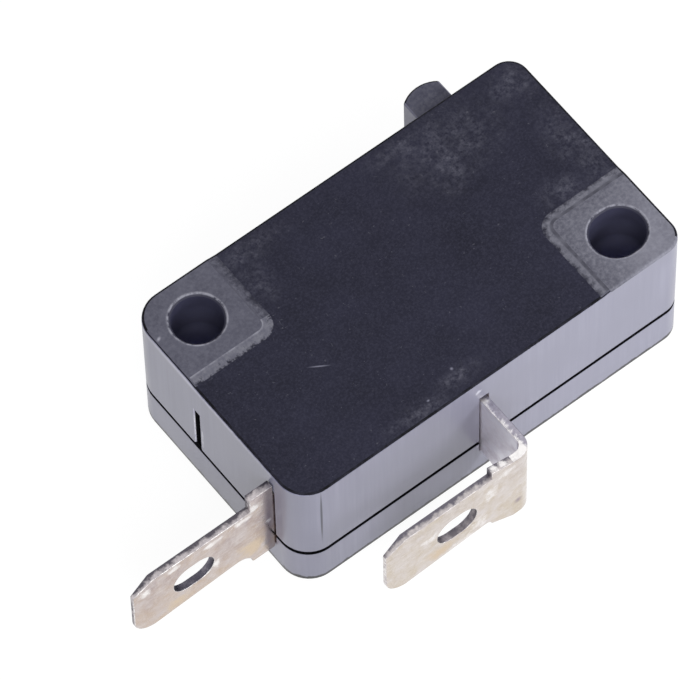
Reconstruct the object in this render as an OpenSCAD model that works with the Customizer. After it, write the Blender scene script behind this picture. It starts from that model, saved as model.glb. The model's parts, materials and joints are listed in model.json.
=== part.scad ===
// Miniature snap-action switch: a two-part moulded housing with a push button on one long side,
// a straight tab out of one end and an angled tab out of the other long side.
// It lies on its cover. The origin is on the axis of the round mounting hole, at the cover's outer face.
// +X runs along the body towards the button, +Y is the way the button stands out, +Z points to the base.

/* [Housing] */
// Length of the body
body_l = 27.8; // [27.2:0.1:29]
// Width of the body, from the tab side to the plunger side
body_w = 15.9; // [15.5:0.1:17]
// Thickness of the closed body over its mounting pads
body_t = 10.3; // [9.8:0.1:11.5]
// Radius of the two upright corners at the tab end
tab_end_r = 1.9; // [1:0.1:2.4]
// Radius of the two upright corners at the plunger end
plunger_end_r = 1.3; // [0.8:0.1:2]
// Thickness of the moulded walls
wall = 1.3; // [1.1:0.05:1.5]
// Height of the cover, up to the parting line
cover_t = 3.2; // [2.8:0.1:3.8]
// Width of the groove that shows along the parting line
groove_w = 0.32; // [0.1:0.02:0.4]
// Depth of the groove that shows along the parting line
groove_d = 0.15; // [0.05:0.01:0.3]
// Thickness of the ribs inside the housing
rib_t = 0.7; // [0.5:0.05:0.9]
// Drop of the unused terminal slit below the round mounting hole
slit_drop = 3.45; // [3.2:0.05:5]
// Height of the unused terminal slit above the parting line
slit_h = 4.2; // [2:0.1:4.8]
// Width of the unused terminal slit
slit_w = 0.5; // [0.2:0.05:0.6]
// Flare on each side of the unused terminal slit at the parting line
slit_flare = 0.35; // [0.1:0.05:0.6]

/* [Mounting holes] */
// Diameter of the round mounting hole, and width of the slotted one
hole_d = 3.1; // [2.9:0.05:3.3]
// Length of the slotted mounting hole
slot_l = 3.4; // [3.35:0.05:3.8]
// Distance between the mounting holes along the body
hole_span_x = 22.2; // [22:0.1:22.4]
// Distance between the mounting holes across the body
hole_span_y = 10.3; // [10.1:0.1:10.5]
// Edge break around the mounting holes on the base's face
hole_break = 0.15; // [0.05:0.05:0.3]
// Wall left around each mounting hole inside the housing
boss_wall = 1.1; // [0.8:0.05:1.3]
// Reach of each mounting pad past the middle of its hole
pad_reach = 2.75; // [2.4:0.05:3]
// How far the mounting pads stand above the rest of the face
pad_rise = 0.1; // [0.05:0.01:0.3]
// Width of the sloping flank around each mounting pad
pad_flank = 0.65; // [0.2:0.05:0.8]
// Radius of each mounting pad's inner corner
pad_corner_r = 0.5; // [0.2:0.05:1]

/* [Plunger] */
// Distance from the plunger end of the body to the middle of the plunger
plunger_x = 4.8; // [4.6:0.1:5.2]
// Width of the plunger along the body
plunger_w = 2.6; // [2.2:0.1:3]
// Depth of the plunger through the thickness of the body
plunger_d = 4.8; // [4:0.1:5]
// Height of the free plunger above the body
plunger_out = 2.9; // [2.4:0.1:3.4]
// Radius of the rounded plunger tip
tip_r = 2.1; // [1.6:0.1:4]
// Full travel of the plunger
plunger_travel = 1.8; // [1.4:0.1:2]
// Width that the plunger's retaining flange adds on each side
flange_lip = 0.9; // [0.6:0.05:1]
// Thickness of the plunger's retaining flange
flange_t = 1.2; // [0.8:0.1:1.4]
// Width of the plunger's nose, which meets the blade
nose_w = 1.6; // [1:0.1:2.2]
// Depth of the plunger's nose
nose_d = 3; // [2:0.1:4]

/* [Terminals] */
// Thickness of the terminal strip
strip_t = 0.5; // [0.4:0.05:0.6]
// Inner radius of the bends in the terminal strip
bend_r = 0.5; // [0.3:0.05:0.6]
// Width of the terminals where they leave the housing
neck_w = 5.8; // [5.4:0.05:6.2]
// Width of the plug-on tabs
tab_w = 5.2; // [4.6:0.05:5.4]
// Length of the straight plug-on tab, from shoulder to tip
tab_l = 8.2; // [7:0.1:9]
// Length of the angled plug-on tab, from shoulder to tip
angled_tab_l = 7.5; // [7:0.1:9]
// How far a tab's lower edge rises from its tip to its shoulder
tab_waist = 0.4; // [0.1:0.05:0.6]
// Length over which a tab thins and narrows towards its tip
tip_taper_l = 1.3; // [0.6:0.1:1.6]
// How much a tab's upper edge drops at its tip
tip_taper_w = 0.9; // [0.5:0.05:1.2]
// Thickness of a tab's tip
tip_t = 0.28; // [0.2:0.02:0.4]
// Radius of a tab's lower tip corner
tip_corner_r = 1.2; // [0.4:0.05:1.4]
// Radius of the fillet below a tab's lower shoulder
shoulder_fillet = 1.1; // [0.1:0.05:1.2]
// How far the shoulders sit above the middle of the strip
shoulder_lift = 0.35; // [0:0.05:0.5]
// Length of the hole in each tab
tab_hole_l = 2.85; // [2.5:0.05:3.2]
// Width of the hole in each tab
tab_hole_w = 2.2; // [1.4:0.05:2.4]
// Drop of the straight terminal below the round mounting hole
common_drop = 10.35; // [10.2:0.05:10.6]
// Neck of the straight terminal that shows before its shoulders
common_neck = 1.65; // [1:0.05:2.4]
// Width over the shoulders of the straight terminal
common_shoulder_w = 7.2; // [6.2:0.05:7.6]
// Distance from the straight tab's tip to the middle of its hole
common_hole_back = 4.15; // [3.6:0.05:5.2]
// Distance of the angled terminal's leg from the round mounting hole
leg_x = 10.3; // [9.8:0.1:10.8]
// Distance of the angled tab from the side of the body
leg_out = 4; // [3:0.1:5]
// Distance from the angled terminal's leg to the shoulders of its tab
angled_neck = 2.8; // [1.8:0.05:3.2]
// Width over the shoulders of the angled terminal
angled_shoulder_w = 5.9; // [5.8:0.05:6.4]
// Reach of the angled terminal's bend below the middle of the strip
bend_low = 3.4; // [3:0.05:3.8]
// Distance from the angled tab's tip to the middle of its hole
angled_hole_back = 5; // [3.6:0.05:5.2]

/* [Snap mechanism] */
// Distance of the blade's pivot from the round mounting hole
pivot_x = 3.05; // [2.9:0.05:3.4]
// Drop of the resting blade below the round mounting hole
blade_drop = 3.6; // [3.5:0.05:3.8]
// Thickness of the contact blade
blade_t = 0.24; // [0.16:0.02:0.3]
// Width of the contact blade
blade_w = 5.2; // [4.8:0.1:5.6]
// Width of the contact blade's free end
blade_tip_w = 3.6; // [2.8:0.1:4.4]
// Reach of the blade past the plunger
blade_tip_l = 1.5; // [1:0.1:2]
// Width of the bar at the blade's tail
blade_tail_l = 0.75; // [0.5:0.05:1]
// Distance from the plunger end of the body to the far end of the blade's window
window_end = 12.4; // [12:0.1:13]
// Distance from the plunger end of the body to the rib that stops the resting blade
stop_x = 11.1; // [10.6:0.1:11.6]
// Width of the upright post that carries the blade and its spring
post_w = 3; // [2.4:0.1:3.2]
// Height of the post above the blade
post_over = 1; // [0.6:0.1:1.4]
// Distance from the plunger end of the body to the contacts
contact_x = 7.8; // [7.6:0.1:8.4]
// Diameter of the contact rivets' heads
contact_d = 2; // [1.6:0.1:2.2]
// Height of the contact rivets' heads
contact_h = 0.6; // [0.4:0.05:0.7]
// Rise of the domed contact faces
contact_dome = 0.12; // [0.06:0.02:0.2]
// Diameter of the contact rivets' shanks
shank_d = 1; // [0.8:0.05:1.1]
// Thickness of the contact rivets' upset ends
upset_t = 0.3; // [0.2:0.05:0.4]
// Width of the angled terminal's inner arm
arm_w = 4.4; // [3.6:0.1:5]
// Thickness of the bow spring
spring_t = 0.2; // [0.12:0.02:0.24]
// Width of the bow spring
spring_w = 2.6; // [2:0.1:2.8]
// Drop of the bow spring's seat below the blade's pivot
seat_drop = 1.6; // [1.4:0.05:1.8]
// Depth of the spring's bow below its two ends
spring_bow = 1.4; // [1:0.05:1.6]
// Radius of the rolled beads that the blade and its spring turn on
bead_r = 0.22; // [0.18:0.01:0.24]

/* [Fits] */
// Clearance around sliding and trapped pieces
fit_gap = 0.05; // [0.03:0.01:0.08]
// Clearance at each side of the terminals in the housing's walls
slot_gap = 0.1; // [0.05:0.01:0.15]
// Room above the terminals in the housing's walls
slot_over = 0.3; // [0.1:0.05:0.5]
// Clearance around the rolled beads in their grooves
bead_gap = 0.07; // [0.05:0.01:0.1]
// Clearance at each side of the post in the blade's window
window_gap = 0.25; // [0.15:0.05:0.4]
// Clearance between the bow spring's tip and the end of the window
tip_gap = 0.3; // [0.25:0.05:0.5]
// Clearance between the contacts when the plunger is fully pressed
closed_gap = 0.04; // [0.03:0.01:0.08]
// Diameter of the pegs that locate the cover
peg_d = 1; // [0.8:0.05:1.1]
// Height of the pegs above the parting line
peg_h = 2; // [1.2:0.1:3]
// Distance of the two middle pegs from the round mounting hole
peg_x = 6.8; // [6:0.1:7.4]

/* [Hidden] */
$fn = 64;

// Overshoot of a cut past the face that it opens, and the thickness of a level that hull joins
cut = 0.5;
skin = 0.01;

// Least corner radius where the body's outline is drawn smaller, as for the hollow
least_r = 0.15;

// Sides of the body, and levels through its thickness
left = -(body_l - hole_span_x) / 2;
right = left + body_l;
top = (body_w - hole_span_y) / 2;
bottom = top - body_w;
mid_z = body_t / 2;
face_z = body_t - pad_rise;
roof_z = face_z - wall;
lip_t = groove_w / 2;

// Mounting holes: the round one is the origin
hole_r = hole_d / 2;
slot_half = (slot_l - hole_d) / 2;
slotted_hole = [hole_span_x, -hole_span_y];
round_ends = [[0, 0], slotted_hole - [slot_half, 0], slotted_hole + [slot_half, 0]];

// The straight terminal turns up into a post with two grooves: the blade's bead lies in the outer one,
// the spring's bead in the inner one, each with half of its radius inside the post
common_y = -common_drop;
blade_y = -blade_drop;
groove_bite = bead_r / 2;
post_x = pivot_x + bead_r - groove_bite + strip_t / 2;
seat = [post_x + strip_t / 2 + bead_r - groove_bite, blade_y - seat_drop];

// Places along the blade, counted back from the plunger end of the body
plunger_at = right - plunger_x;
contact_at = right - contact_x;
stop_at = right - stop_x;
window_at = right - window_end;

// The plunger presses the blade, which swings about its bead until the contacts meet
swing_rad = plunger_travel / (plunger_at - pivot_x);
contact_travel = swing_rad * (contact_at - pivot_x);
moving_face = blade_y - blade_t / 2 - contact_h;
fixed_face = moving_face - contact_travel - closed_gap;
arm_y = fixed_face - contact_h - strip_t / 2;
shank_hole_d = shank_d + fit_gap;

// The plunger's flange stops under the top wall, and its nose rests on the blade
flange_top = top - wall - fit_gap;
flange_low = flange_top - flange_t;
flange_w = plunger_w + 2 * flange_lip;
nose_end = blade_y + blade_t / 2 + fit_gap;
guide_low = flange_low - plunger_travel;

// Pegs of the cover: one in the corner beside the plunger's flange, and one on each long wall
corner_peg_x = plunger_at + flange_w / 2 + fit_gap + rib_t + peg_d / 2;
peg_places = [[corner_peg_x, top - wall], [peg_x, top - wall], [peg_x, bottom + wall]];

// Plan of the body, with its own corner radius at each end and a wall around each mounting hole
module outline(inset = 0) {
    ra = max(tab_end_r - inset, least_r);
    rb = max(plunger_end_r - inset, least_r);
    x0 = left + inset;
    x1 = right - inset;
    y0 = bottom + inset;
    y1 = top - inset;
    area(x0 + ra, x1 - rb, y0, y1);
    area(x0, x0 + ra, y0 + ra, y1 - ra);
    area(x1 - rb, x1, y0 + rb, y1 - rb);
    for (y = [y0 + ra, y1 - ra])
        translate([x0 + ra, y]) circle(ra);
    for (y = [y0 + rb, y1 - rb])
        translate([x1 - rb, y]) circle(rb);
    for (place = round_ends)
        translate(place) circle(hole_r + rib_t - inset);
}

// A rectangle between two pairs of edges, given in either order
module area(x0, x1, y0, y1) {
    translate([min(x0, x1), min(y0, y1)]) square([abs(x1 - x0), abs(y1 - y0)]);
}

// Solid plan around a mounting hole, which runs out into the corner of the body next to it
module boss_plan(centre, reach, corner) {
    translate(centre) scale(corner) {
        circle(reach);
        area(0, body_l, -reach, body_w);
        area(-reach, body_l, 0, body_w);
    }
}

// Moulded ribs that hold the terminals, guide the plunger's flange, stop the blade and take the pegs
module rib_plan() {
    strip_half = strip_t / 2 + fit_gap;
    guide_half = flange_w / 2 + fit_gap;
    channel_end = post_x - strip_t - bend_r - rib_t;
    area(left, channel_end, bottom, common_y - strip_half);
    channel_top = common_y + strip_half + rib_t;
    area(left, channel_end, common_y + strip_half, channel_top);
    for (side = [-1, 1])
        area(leg_x + side * strip_half, leg_x + side * (strip_half + rib_t), bottom, channel_top);
    area(plunger_at - guide_half - rib_t, plunger_at - guide_half, guide_low, top);
    area(plunger_at + guide_half, right, guide_low, top);
    area(stop_at - rib_t / 2, stop_at + rib_t / 2, blade_y + blade_t / 2 + fit_gap, top);
    for (place = peg_places)
        translate(place) circle(peg_d / 2 + rib_t);
}

// Hollow of the housing in plan, the same in both halves
module cavity_plan() {
    difference() {
        outline(wall);
        boss_plan([0, 0], hole_r + boss_wall, [-1, 1]);
        boss_plan(slotted_hole, slot_l / 2 + boss_wall, [1, -1]);
        rib_plan();
    }
}

// Openings in the walls for the plunger and the two terminals, between two levels
module wall_openings(low, high) {
    strip_half = strip_t / 2 + slot_gap;
    shaft_half = plunger_w / 2 + fit_gap;
    depth = wall + 2 * cut;
    module opening(x, y, size_x, size_y, z0, z1)
        translate([x, y, max(low, z0)]) cube([size_x, size_y, min(high, z1) - max(low, z0)]);
    neck_low = mid_z - neck_w / 2 - fit_gap;
    neck_high = mid_z + neck_w / 2 + slot_over;
    opening(plunger_at - shaft_half, top - wall - cut, 2 * shaft_half, depth,
            mid_z - plunger_d / 2 - fit_gap, mid_z + plunger_d / 2 + fit_gap);
    opening(left - cut, common_y - strip_half, depth, 2 * strip_half, neck_low, neck_high);
    opening(leg_x - strip_half, bottom - cut, 2 * strip_half, depth, neck_low, neck_high);
}

module slot_plan() {
    for (side = [-1, 1])
        translate([side * slot_half, 0]) circle(hole_r);
    area(-slot_half, slot_half, -hole_r, hole_r);
}

module mounting_holes() {
    translate([0, 0, -cut]) cylinder(r = hole_r, h = body_t + 2 * cut);
    translate([slotted_hole.x, slotted_hole.y, -cut]) linear_extrude(body_t + 2 * cut) slot_plan();
}

// Broken edges of both holes on the base's face: cones that start inside the holes, with a straight
// stretch along the slot
module hole_breaks() {
    inner_r = hole_r - hole_break;
    outer_r = hole_r + 2 * hole_break;
    rise = outer_r - inner_r;
    module edge_cone(x, y)
        translate([x, y, body_t - 2 * hole_break]) cylinder(r1 = inner_r, r2 = outer_r, h = rise);
    edge_cone(0, 0);
    for (side = [-1, 1])
        edge_cone(slotted_hole.x + side * slot_half, slotted_hole.y);
    translate([slotted_hole.x - slot_half, slotted_hole.y, body_t - 2 * hole_break])
        rotate([90, 0, 90])
            linear_extrude(2 * slot_half)
                polygon([[-inner_r, 0], [inner_r, 0], [outer_r, rise], [-outer_r, rise]]);
}

// One mounting pad: a low block with sloping flanks and a rounded inner corner
module mounting_pad(centre, corner) {
    module level(reach, corner_r, z)
        translate([centre.x, centre.y, z])
            scale([corner.x, corner.y, 1])
                linear_extrude(skin) {
                    translate([corner_r - reach, corner_r - reach]) circle(corner_r);
                    area(-reach, body_l, body_w, body_w + skin);
                    area(body_l, body_l + skin, -reach, body_w);
                }
    hull() {
        level(pad_reach + pad_flank, pad_corner_r + pad_flank, face_z - skin);
        level(pad_reach, pad_corner_r, body_t - skin);
    }
}

// The unused terminal slit seen from the tab end, with a flared foot at the parting line
module slit_side() {
    half = slit_w / 2;
    foot = half + slit_flare;
    polygon([[-foot, -cut], [foot, -cut], [foot, 0], [half, slit_flare], [half, slit_h],
             [-half, slit_h], [-half, slit_flare], [-foot, 0]]);
}

// The deep half of the housing, open towards the cover
module base_housing() {
    color("#3b3b45") difference() {
        union() {
            translate([0, 0, cover_t]) linear_extrude(roof_z - cover_t) outline(groove_d);
            translate([0, 0, cover_t + lip_t]) linear_extrude(face_z - cover_t - lip_t) outline();
            intersection() {
                translate([0, 0, roof_z]) linear_extrude(body_t - roof_z) outline();
                union() {
                    mounting_pad([0, 0], [-1, 1]);
                    mounting_pad(slotted_hole, [1, -1]);
                }
            }
        }
        translate([0, 0, cover_t - cut]) linear_extrude(roof_z - cover_t + cut) cavity_plan();
        wall_openings(cover_t - cut, body_t);
        translate([left - cut, -slit_drop, cover_t])
            rotate([90, 0, 90]) linear_extrude(wall + 2 * cut) slit_side();
        for (place = peg_places)
            translate([place.x, place.y, cover_t - cut])
                cylinder(d = peg_d + 2 * fit_gap, h = peg_h + fit_gap + cut);
        mounting_holes();
        hole_breaks();
    }
}

// The shallow half: a tray with pegs that enter the base
module cover() {
    color("#4a4a54") {
        difference() {
            union() {
                linear_extrude(cover_t - lip_t) outline();
                linear_extrude(cover_t) outline(groove_d);
            }
            translate([0, 0, wall]) linear_extrude(cover_t) cavity_plan();
            wall_openings(0, cover_t + cut);
            mounting_holes();
        }
        for (place = peg_places)
            translate([place.x, place.y, wall]) cylinder(d = peg_d, h = cover_t + peg_h - wall);
    }
}

// The push button: a flat shaft with a rounded tip, a retaining flange and a nose that meets the blade
module plunger() {
    tip_y = top + plunger_out;
    color("#55555f") translate([plunger_at, 0, mid_z]) {
        translate([0, 0, -plunger_d / 2]) linear_extrude(plunger_d) {
            intersection() {
                area(-plunger_w / 2, plunger_w / 2, flange_low, tip_y);
                union() {
                    translate([0, tip_y - tip_r]) circle(tip_r);
                    area(-tip_r, tip_r, flange_low, tip_y - tip_r);
                }
            }
            area(-flange_w / 2, flange_w / 2, flange_low, flange_top);
        }
        translate([0, 0, -nose_d / 2]) linear_extrude(nose_d) {
            translate([0, nose_end + nose_w / 2]) circle(nose_w / 2);
            area(-nose_w / 2, nose_w / 2, nose_end + nose_w / 2, flange_top);
        }
    }
}

// A quarter turn of the strip about a centre, on the side that quadrant points to
module quarter_bend(centre, quadrant) {
    translate(centre) intersection() {
        difference() {
            circle(bend_r + strip_t);
            circle(bend_r);
        }
        scale(quadrant) square(bend_r + 2 * strip_t);
    }
}

// Side view of a tab from its shoulders at x = 0 out to its tip. The neck behind the shoulders has
// its lower and upper edges given as points
module tab_side(length, neck_foot, neck_top, shoulder_high, shoulder_low, hole_back) {
    half = tab_w / 2;
    hole_half = (tab_hole_l - tab_hole_w) / 2;
    root = half - tab_waist;
    fillet = min(shoulder_fillet, shoulder_low - root);
    difference() {
        union() {
            polygon(concat(neck_foot, [
                [0, -shoulder_low], [0, -root], [fillet, -root], [length - tip_corner_r, -half],
                [length - tip_corner_r, -half + tip_corner_r], [length, -half + tip_corner_r],
                [length, half - tip_taper_w], [length - tip_taper_l, half], [0, half],
                [0, shoulder_high]], neck_top));
            translate([length - tip_corner_r, -half + tip_corner_r]) circle(tip_corner_r);
            difference() {
                area(-strip_t, fillet, -root - fillet, -root);
                translate([fillet, -root - fillet]) circle(fillet);
            }
        }
        translate([length - hole_back, 0]) {
            for (side = [-1, 1])
                translate([side * hole_half, 0]) circle(tab_hole_w / 2);
            area(-hole_half, hole_half, -tab_hole_w / 2, tab_hole_w / 2);
        }
    }
}

// Plan of a tab along -X: the strip from its first bend out to the tip, where it thins
module tab_plan(length, shoulder_x, y, end_x) {
    tip_x = shoulder_x - length;
    thin_x = tip_x + tip_taper_l;
    polygon([[end_x, y - strip_t / 2], [end_x, y + strip_t / 2], [thin_x, y + strip_t / 2],
             [tip_x, y + tip_t / 2], [tip_x, y - tip_t / 2], [thin_x, y - strip_t / 2]]);
}

// A tab's side view carried across from one level of y to another
module side_cut(shoulder_x, y0, y1) {
    translate([shoulder_x, y1, mid_z]) mirror([1, 0, 0])
        rotate([90, 0, 0]) linear_extrude(y1 - y0) children();
}

// A block around the middle of the strip, as high as the strip is wide there
module width_cut(x0, x1, y0, y1, width) {
    translate([0, 0, mid_z - width / 2]) linear_extrude(width) area(x0, x1, y0, y1);
}

// Straight terminal: its tab leaves the end of the body, and inside it turns up into the post.
// The bent strip in plan is cut to its width at each place
module common_terminal() {
    shoulder_x = left - common_neck;
    bend = [post_x - strip_t / 2 - bend_r, common_y + strip_t / 2 + bend_r];
    post_end = blade_y + post_over;
    high = common_shoulder_w / 2 + shoulder_lift;
    low = common_shoulder_w / 2 - shoulder_lift;
    neck_l = common_neck - fit_gap;
    color("#cfc8bf") difference() {
        intersection() {
            linear_extrude(body_t) {
                tab_plan(tab_l, shoulder_x, common_y, bend.x);
                quarter_bend(bend, [1, -1]);
                area(post_x - strip_t / 2, post_x + strip_t / 2, bend.y, post_end);
            }
            union() {
                side_cut(shoulder_x, common_y - strip_t, common_y + strip_t)
                    tab_side(tab_l, [[-neck_l, -low]], [[-neck_l, high]], high, low, common_hole_back);
                width_cut(shoulder_x, post_x + strip_t, common_y - strip_t, bend.y + bend_r, neck_w);
                width_cut(bend.x, post_x + strip_t, common_y, post_end + cut, post_w);
            }
        }
        for (place = [[pivot_x, blade_y], seat])
            translate([place.x, place.y, mid_z - post_w]) cylinder(r = bead_r + bead_gap, h = 2 * post_w);
    }
}

// Angled terminal: its leg leaves the long side and bends into a tab along the body. Inside, an arm
// reaches under the blade and carries the fixed contact. It is cut from its plan like the straight one
module angled_terminal() {
    tab_y = bottom - leg_out;
    shoulder_x = leg_x - angled_neck;
    outer_bend = [leg_x - strip_t / 2 - bend_r, tab_y + strip_t / 2 + bend_r];
    inner_bend = [leg_x + strip_t / 2 + bend_r, arm_y - strip_t / 2 - bend_r];
    arm_end = contact_at + contact_d / 2 + strip_t;
    leg_inner = common_y + strip_t / 2;
    high = angled_shoulder_w / 2 + shoulder_lift;
    low = angled_shoulder_w / 2 - shoulder_lift;
    neck_l = angled_neck + strip_t;
    slant_end = shoulder_x - outer_bend.x + strip_t;
    neck_foot = [[-neck_l, -bend_low], [slant_end, -bend_low]];
    neck_top = [[slant_end, neck_w / 2], [-neck_l, neck_w / 2]];
    color("#d6cec4") difference() {
        intersection() {
            linear_extrude(body_t) {
                tab_plan(angled_tab_l, shoulder_x, tab_y, outer_bend.x);
                quarter_bend(outer_bend, [1, -1]);
                area(leg_x - strip_t / 2, leg_x + strip_t / 2, outer_bend.y, inner_bend.y);
                quarter_bend(inner_bend, [-1, 1]);
                area(inner_bend.x, arm_end, arm_y - strip_t / 2, arm_y + strip_t / 2);
            }
            union() {
                side_cut(shoulder_x, tab_y - strip_t, tab_y + strip_t)
                    tab_side(angled_tab_l, neck_foot, neck_top, high, low, angled_hole_back);
                translate([outer_bend.x - strip_t, 0, mid_z])
                    rotate([90, 0, 90]) linear_extrude(bend_r + 3 * strip_t)
                    polygon([[tab_y - strip_t, -bend_low], [outer_bend.y, -bend_low], [bottom, -neck_w / 2],
                             [leg_inner, -neck_w / 2], [leg_inner, neck_w / 2],
                             [tab_y - strip_t, neck_w / 2]]);
                width_cut(leg_x - strip_t, arm_end + cut, bottom, arm_y + strip_t, arm_w);
            }
        }
        translate([contact_at, arm_y, mid_z])
            rotate([90, 0, 0]) cylinder(d = shank_hole_d, h = 2 * strip_t, center = true);
    }
}

// A contact rivet: a domed head above z = 0, a shank through the sheet and an upset end below it
module contact_rivet(sheet_t) {
    dome_r = (pow(contact_d / 2, 2) + pow(contact_dome, 2)) / (2 * contact_dome);
    rotate_extrude() {
        intersection() {
            square([contact_d / 2, contact_h]);
            translate([0, contact_h - dome_r]) circle(dome_r);
        }
        area(0, shank_d / 2, -sheet_t, 0);
        area(0, shank_d / 2 + upset_t, -sheet_t - upset_t, -sheet_t);
    }
}

module fixed_contact() {
    color("#c9cbd0")
        translate([contact_at, arm_y + strip_t / 2, mid_z]) rotate([-90, 0, 0]) contact_rivet(strip_t);
}

// Spring blade: a leaf with a rolled bead across its tail, a long window and a free end that narrows
module contact_blade() {
    tail = pivot_x - blade_tail_l;
    end = plunger_at + blade_tip_l;
    window_w = post_w + 2 * window_gap;
    color("#c98f52") translate([0, blade_y, mid_z]) {
        translate([0, blade_t / 2, 0]) rotate([90, 0, 0]) linear_extrude(blade_t) difference() {
            polygon([[tail, -blade_w / 2], [window_at, -blade_w / 2], [end, -blade_tip_w / 2],
                     [end, blade_tip_w / 2], [window_at, blade_w / 2], [tail, blade_w / 2]]);
            area(pivot_x, window_at, -window_w / 2, window_w / 2);
            translate([contact_at, 0]) circle(shank_hole_d / 2);
        }
        translate([pivot_x, 0, -blade_w / 2]) cylinder(r = bead_r, h = blade_w);
    }
}

module moving_contact() {
    color("#c9cbd0")
        translate([contact_at, blade_y - blade_t / 2, mid_z]) rotate([90, 0, 0]) contact_rivet(blade_t);
}

// Bow spring: an arc that sags between its bead on the post and its tip in the blade's window
module bow_spring() {
    chord = [window_at - tip_gap, blade_y] - seat;
    half = norm(chord) / 2;
    bow_r = (half * half + spring_bow * spring_bow) / (2 * spring_bow);
    color("#d9a866") translate([seat.x, seat.y, mid_z - spring_w / 2]) {
        cylinder(r = bead_r, h = spring_w);
        rotate([0, 0, atan2(chord.y, chord.x)]) linear_extrude(spring_w) intersection() {
            translate([half, bow_r - spring_bow]) difference() {
                circle(bow_r + spring_t / 2);
                circle(bow_r - spring_t / 2);
            }
            area(0, 2 * half, -2 * spring_bow, spring_bow);
        }
    }
}

base_housing();
cover();
plunger();
common_terminal();
angled_terminal();
fixed_contact();
contact_blade();
moving_contact();
bow_spring();
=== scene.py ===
# %% [markdown]
# A miniature snap-action switch, dressed for the camera.
# The construction arrives as a fixed frame: every solid is already at its real size and in its real place.
# This lesson gives the solids what a drawing leaves out: broken edges, moulding marks, worn metal and light.

# %% Load the frame
import json
import math

import bmesh
import bpy
from mathutils import Matrix, Vector


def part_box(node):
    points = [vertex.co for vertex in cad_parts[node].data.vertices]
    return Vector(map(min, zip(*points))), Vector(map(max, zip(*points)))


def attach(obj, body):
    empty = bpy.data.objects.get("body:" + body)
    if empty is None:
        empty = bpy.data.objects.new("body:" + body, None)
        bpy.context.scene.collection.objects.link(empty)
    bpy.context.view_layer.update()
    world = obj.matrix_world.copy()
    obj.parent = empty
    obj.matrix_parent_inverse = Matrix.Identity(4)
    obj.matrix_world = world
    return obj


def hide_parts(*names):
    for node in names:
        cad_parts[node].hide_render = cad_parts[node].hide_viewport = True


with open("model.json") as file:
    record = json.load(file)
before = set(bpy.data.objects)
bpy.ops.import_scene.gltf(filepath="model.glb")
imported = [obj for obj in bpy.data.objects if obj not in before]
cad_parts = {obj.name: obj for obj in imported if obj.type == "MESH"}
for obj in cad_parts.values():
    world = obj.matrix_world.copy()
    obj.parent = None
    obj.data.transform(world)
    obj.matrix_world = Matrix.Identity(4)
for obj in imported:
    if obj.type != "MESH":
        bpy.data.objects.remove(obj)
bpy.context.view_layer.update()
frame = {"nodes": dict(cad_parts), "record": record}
MM = 0.001
print("solids:", sorted(frame["nodes"]))

# %% [markdown]
# The landmarks of the housing are read from the frame, so the finish follows the solids if a size changes.
# A box gives the outer limits of a solid. The mounting holes and the tabs come from the record, which lists
# every place where something else meets the switch. The face lies a little below the two pads at the holes.

# %% Landmarks of the housing
FACE_DROP = 0.1 * MM
base_low, base_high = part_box("base_housing")
pad_z = base_high.z
face_z = pad_z - FACE_DROP
parting_z = base_low.z
mounts = {mount["name"]: Vector(mount["pos_m"]) for mount in frame["record"]["mounts"]}
holes = [mounts["round_mounting_hole"], mounts["slotted_mounting_hole"]]
print("parting line at", round(parting_z / MM, 2), "mm, pads at", round(pad_z / MM, 2), "mm")

# %% [markdown]
# The photograph was taken with a long lens from above the tab end, so the edges hardly converge.
# Azimuth, elevation and distance place the camera, and a small roll turns it about its own axis.
# A camera could also be aimed with a constraint, but a plain matrix keeps it free for other views.

# %% Camera
AZIMUTH, ELEVATION, ROLL = -36.389, 60.644, -1.718
AIM = Vector((7.197, -3.764, 5.166)) * MM
DISTANCE = 422.03 * MM
NEAREST_SEEN = 10 * MM
LENS, SENSOR = 390.785, 36.0

turn, rise = math.radians(AZIMUTH), math.radians(ELEVATION)
back = Vector((math.sin(turn) * math.cos(rise), -math.cos(turn) * math.cos(rise), math.sin(rise)))
camera = bpy.data.objects.new("photo_camera", bpy.data.cameras.new("photo_camera"))
camera.data.lens = LENS
camera.data.sensor_width = SENSOR
camera.data.clip_start = NEAREST_SEEN
aimed = (-back).to_track_quat("-Z", "Y").to_matrix()
rolled = aimed @ Matrix.Rotation(math.radians(ROLL), 3, "Z")
camera.matrix_world = Matrix.Translation(AIM + back * DISTANCE) @ rolled.to_4x4()
bpy.context.scene.collection.objects.link(camera)
bpy.context.scene.camera = camera
print("camera at", [round(value / MM, 1) for value in camera.location], "mm")

# %% [markdown]
# Every finish is a small network of shader nodes. One function adds a node: its own settings are keywords,
# its inputs are numbers or outputs of other nodes, and it hands back the output to link on. Colours are
# written as sRGB hex, the way a picture editor shows them, and turned to the linear values of light.

# %% Adding nodes
def linear(colour):
    """An sRGB hex colour as linear red, green, blue and alpha."""
    channels = [int(colour[i:i + 2], 16) / 255 for i in (1, 3, 5)]
    return [c / 12.92 if c <= 0.04045 else ((c + 0.055) / 1.055) ** 2.4 for c in channels] + [1.0]


def add(tree, kind, inputs=None, out=None, **settings):
    """Adds one shader node with its settings, fills its inputs and returns one of its outputs."""
    node = tree.nodes.new("ShaderNode" + kind)
    for name, value in settings.items():
        setattr(node, name, value)
    for name, value in (inputs or {}).items():
        live = [socket for socket in node.inputs if socket.enabled and socket.name == name]
        socket = live[0] if live else node.inputs[name]
        if isinstance(value, bpy.types.NodeSocket):
            tree.links.new(value, socket)
        else:
            socket.default_value = value
    shown = [socket for socket in node.outputs if socket.enabled]
    return node.outputs[out] if out else (shown or [None])[0]


def blank_finish(name):
    """An empty material, its node tree, and the output that gives places on the object in metres."""
    material = bpy.data.materials.new(name)
    material.use_nodes = True
    material.node_tree.nodes.clear()
    return material, material.node_tree, add(material.node_tree, "TexCoord", out="Object")


print("mid grey in linear light:", round(linear("#808080")[0], 3))

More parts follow.
